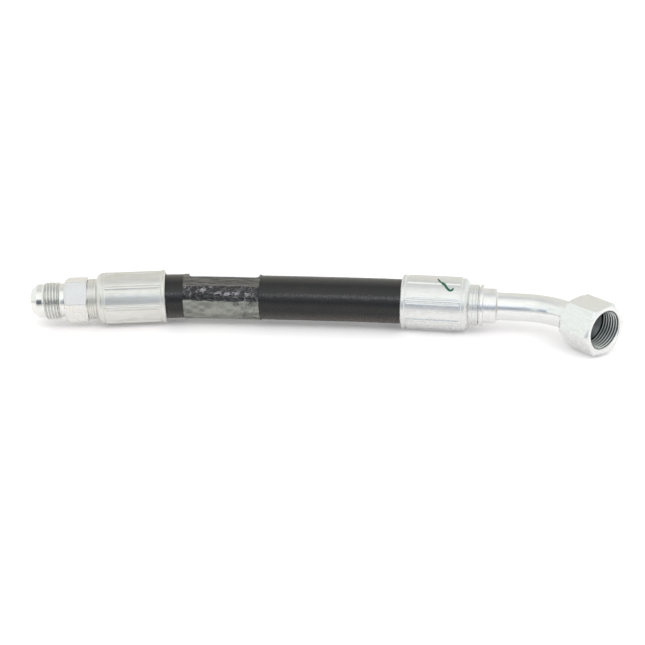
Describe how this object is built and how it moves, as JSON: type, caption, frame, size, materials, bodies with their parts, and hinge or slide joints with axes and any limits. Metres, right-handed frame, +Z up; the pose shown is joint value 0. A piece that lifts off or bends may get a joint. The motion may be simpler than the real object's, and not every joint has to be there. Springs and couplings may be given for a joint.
{
  "type": "hydraulic hose assembly",
  "caption": "Short two-wire hydraulic hose with crimped ferrules, a rigid flare male end and a 45 degree bent-tube swivel nut end.",
  "frame": {"origin": "on the supporting surface, under the middle of the fittings' bounding box", "axes": "+X along the rigid male end's axis, from its nose into the hose; +Z up from the surface; -Y is the side the bent tube turns to"},
  "size_m": [0.3962, 0.123, 0.0378],
  "materials": {
    "zinc_plated_steel": "bright zinc plating, satin",
    "cover_rubber": "matte with a fine cloth impression",
    "inner_rubber": "smooth matte",
    "braid_wire": "brass-coated braided wire",
    "clear_film": "crinkled glossy film",
    "braze_alloy": "plated braze fillet",
    "spring_wire": "drawn spring wire"
  },
  "bodies": {
    "male_end": {"male_stem": "zinc_plated_steel", "male_ferrule": "zinc_plated_steel", "hose_inner_tube": "inner_rubber", "hose_inner_braid": "braid_wire", "hose_insulation_layer": "inner_rubber", "hose_outer_braid": "braid_wire", "hose_cover": "cover_rubber", "film_wrap": "clear_film"},
    "swivel_end": {"swivel_ferrule": "zinc_plated_steel", "swivel_stem": "zinc_plated_steel", "bent_tube": "zinc_plated_steel", "socket_braze_ring": "braze_alloy", "flare_seat_sleeve": "zinc_plated_steel"},
    "nut": {"swivel_nut": "zinc_plated_steel", "nut_retaining_wire": "spring_wire"}
  },
  "joints": [
    {"name": "hose_flex", "type": "hinge", "parent": "male_end", "child": "swivel_end", "pos_m": [-0.02211, 0.03011, 0.0189], "axis": [0, 0, 1], "range_deg": [-26, 50], "stiffness_Nm_per_rad": 60, "deforming": ["hose_inner_tube", "hose_inner_braid", "hose_insulation_layer", "hose_outer_braid", "hose_cover"]},
    {"name": "nut_spin", "type": "hinge", "parent": "swivel_end", "child": "nut", "pos_m": [0.17658, -0.04245, 0.0189], "axis": [0.509, -0.8607, 0], "continuous": true}
  ]
}
